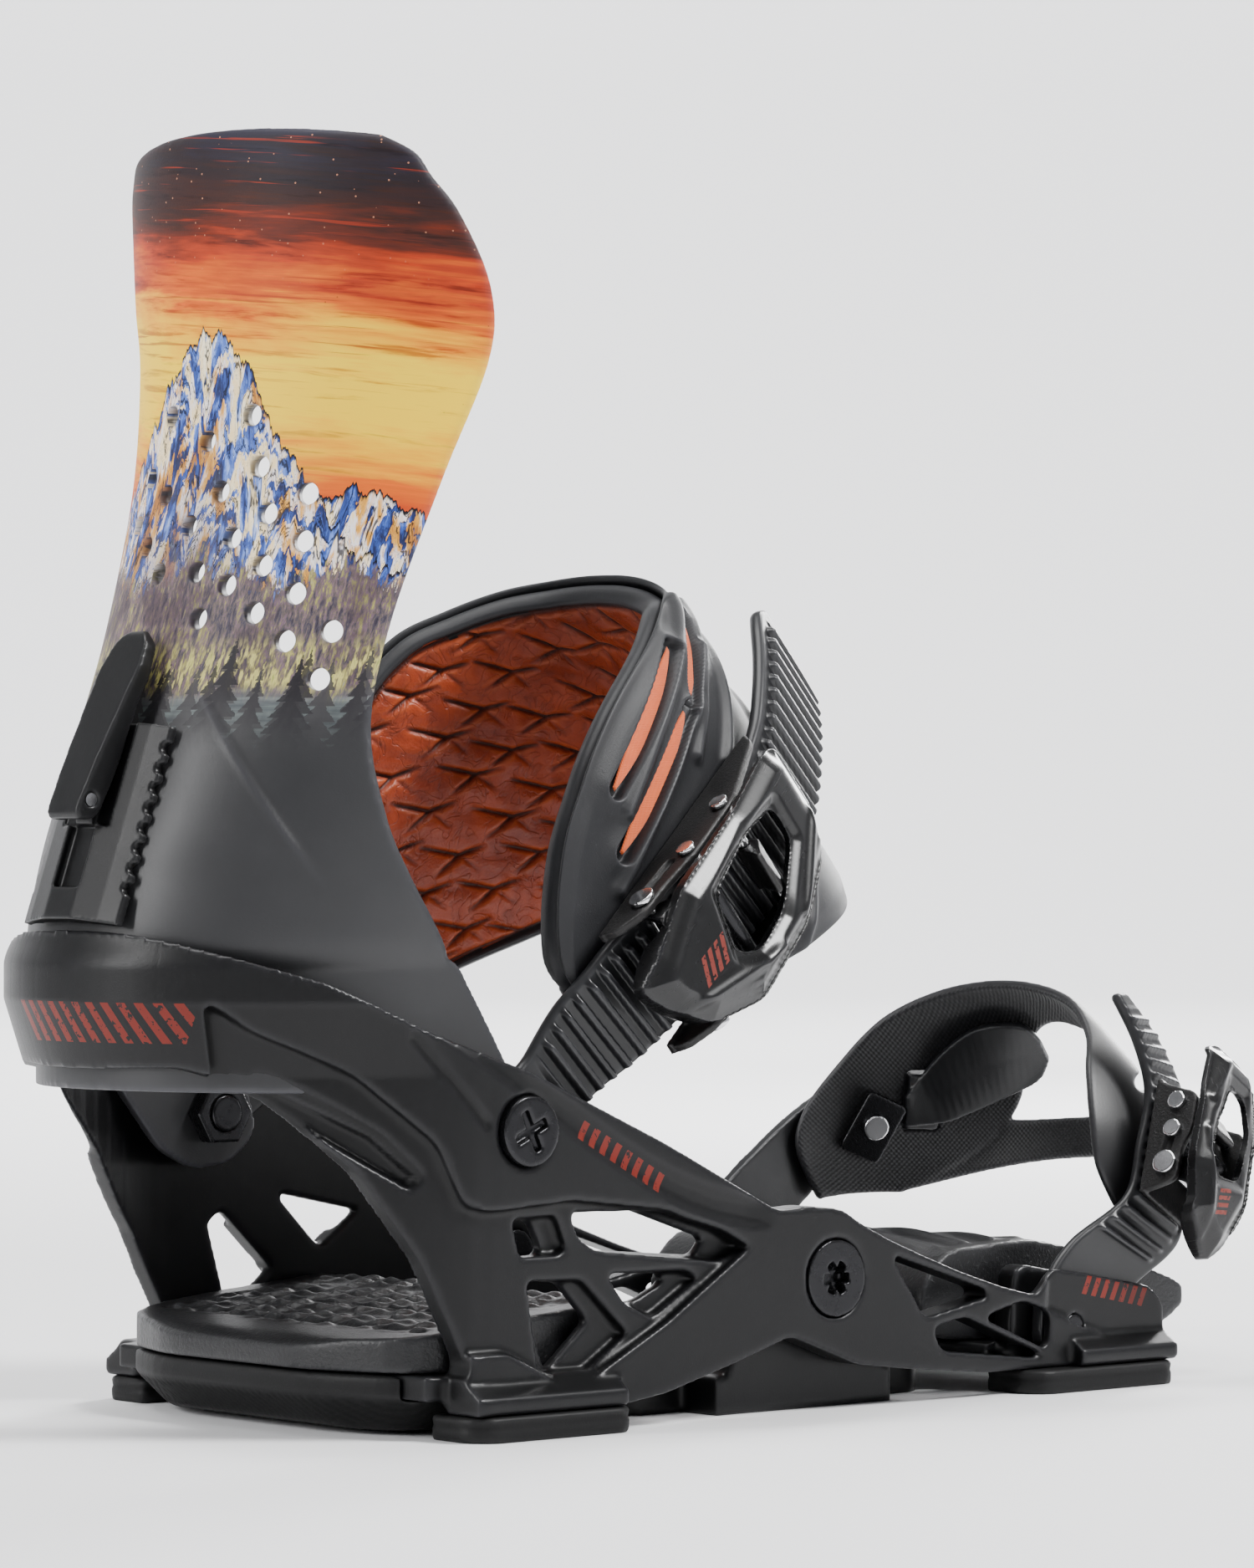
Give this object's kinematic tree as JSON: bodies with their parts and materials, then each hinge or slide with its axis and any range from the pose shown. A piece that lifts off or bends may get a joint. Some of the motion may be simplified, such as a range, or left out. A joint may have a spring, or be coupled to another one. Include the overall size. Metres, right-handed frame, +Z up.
{
  "type": "snowboard strap binding",
  "caption": "Snowboard strap binding: open frame rocking on a disc-mounted truck, printed highback with lean lever, padded ankle strap and toe cap strap, each with a ratchet buckle.",
  "frame": {"origin": "centre of the mounting disc's screw pattern, on the board's surface", "axes": "+X towards the toe, +Z up from the board, -Y towards the outer side with the buckles"},
  "size_m": [0.3122, 0.1461, 0.275],
  "materials": {
    "frame_nylon": "satin, glass-filled",
    "disc": "satin",
    "rubber": "matte, fine grained",
    "footbed": "pebbled",
    "black_hardware": "satin black",
    "bright_hardware": "polished",
    "highback_print": "satin, printed",
    "highback_pad": "matte foam",
    "liner": "embossed",
    "exo": "soft satin",
    "inlay": "woven",
    "ladder": "satin",
    "buckle_gloss": "high gloss",
    "buckle_base": "textured",
    "toe_rubber": "satin"
  },
  "bodies": {
    "truck": {"hanger_plate": "frame_nylon", "mounting_disc": "disc", "kingpin_near": "black_hardware", "kingpin_far": "black_hardware"},
    "frame": {"chassis": "frame_nylon", "kingpin_bush_near": "bright_hardware", "kingpin_bush_far": "bright_hardware", "foot_pad_rear_near": "rubber", "foot_pad_rear_far": "rubber", "foot_pad_front_near": "rubber", "foot_pad_front_far": "rubber", "heel_base": "rubber", "heel_footbed": "footbed", "toe_footbed": "footbed", "pivot_bolt_near": "black_hardware", "pivot_bolt_far": "black_hardware", "pivot_nut_near": "black_hardware", "pivot_nut_far": "black_hardware", "toe_bolt_near": "black_hardware", "toe_bolt_far": "black_hardware"},
    "highback": {"highback_shell": "highback_print", "highback_pad": "highback_pad"},
    "lean_adjuster": {"lean_block": "frame_nylon", "lean_pin": "bright_hardware"},
    "lean_lever": {"lean_lever": "frame_nylon"},
    "ankle_strap": {"ankle_liner": "liner", "ankle_exo": "exo", "ankle_inlay": "inlay", "ankle_strap_far": "ladder", "ankle_strap_screw": "black_hardware", "ankle_ladder": "ladder", "ankle_buckle_base": "buckle_base", "ankle_buckle_rivets": "bright_hardware"},
    "ankle_pawl": {"ankle_pawl": "black_hardware"},
    "ankle_lever": {"ankle_lever": "buckle_gloss"},
    "ankle_release": {"ankle_release": "buckle_base"},
    "toe_strap": {"toe_cap": "toe_rubber", "toe_strap_far": "ladder", "toe_cap_plate": "black_hardware", "toe_cap_bolt": "bright_hardware", "toe_ladder": "ladder", "toe_buckle_base": "buckle_base", "toe_buckle_rivets": "bright_hardware"},
    "toe_pawl": {"toe_pawl": "black_hardware"},
    "toe_lever": {"toe_lever": "buckle_gloss"},
    "toe_release": {"toe_release": "buckle_base"}
  },
  "joints": [
    {"name": "frame_rock", "type": "hinge", "parent": "truck", "child": "frame", "pos_m": [0.003, 0, 0.029], "axis": [0, 1, 0], "range_deg": [-0.3, 0.3], "stiffness_Nm_per_rad": 2000},
    {"name": "highback_fold", "type": "hinge", "parent": "frame", "child": "highback", "pos_m": [-0.085, 0, 0.064], "axis": [0, 1, 0], "range_deg": [0, 12]},
    {"name": "lean_slide", "type": "slide", "parent": "highback", "child": "lean_adjuster", "axis": [0.3256, 0, 0.9455], "range_m": [0, 0.01]},
    {"name": "lean_lever_hinge", "type": "hinge", "parent": "lean_adjuster", "child": "lean_lever", "pos_m": [-0.15592, 0, 0.13306], "axis": [0, -1, 0], "range_deg": [0, 45]},
    {"name": "ankle_strap_tilt", "type": "hinge", "parent": "frame", "child": "ankle_strap", "pos_m": [-0.085, 0, 0.064], "axis": [0, 1, 0], "range_deg": [-12, 12]},
    {"name": "ankle_pawl_hinge", "type": "hinge", "parent": "ankle_strap", "child": "ankle_pawl", "pos_m": [-0.02874, -0.06025, 0.10956], "axis": [-0.6293, 0, 0.7771], "range_deg": [-6, 10], "stiffness_Nm_per_rad": 0.05},
    {"name": "ankle_lever_hinge", "type": "hinge", "parent": "ankle_strap", "child": "ankle_lever", "pos_m": [-0.04171, -0.06084, 0.09905], "axis": [0.6293, 0, -0.7771], "range_deg": [0, 30], "stiffness_Nm_per_rad": 0.05},
    {"name": "ankle_release_hinge", "type": "hinge", "parent": "ankle_strap", "child": "ankle_release", "pos_m": [-0.01654, -0.05719, 0.11944], "axis": [0.6293, 0, -0.7771], "range_deg": [0, 20], "stiffness_Nm_per_rad": 0.05},
    {"name": "toe_strap_tilt", "type": "hinge", "parent": "frame", "child": "toe_strap", "pos_m": [0.078, 0, 0.014], "axis": [0, 1, 0], "range_deg": [-6, 6]},
    {"name": "toe_pawl_hinge", "type": "hinge", "parent": "toe_strap", "child": "toe_pawl", "pos_m": [0.11412, -0.0655, 0.0526], "axis": [0.8629, 0.1543, -0.4812], "range_deg": [-6, 10], "stiffness_Nm_per_rad": 0.05},
    {"name": "toe_lever_hinge", "type": "hinge", "parent": "toe_strap", "child": "toe_lever", "pos_m": [0.11015, -0.06682, 0.04506], "axis": [0.8629, 0.1543, -0.4812], "range_deg": [0, 40], "stiffness_Nm_per_rad": 0.05},
    {"name": "toe_release_hinge", "type": "hinge", "parent": "toe_strap", "child": "toe_release", "pos_m": [0.11732, -0.06392, 0.05885], "axis": [0.8629, 0.1543, -0.4812], "range_deg": [0, 20], "stiffness_Nm_per_rad": 0.05}
  ]
}
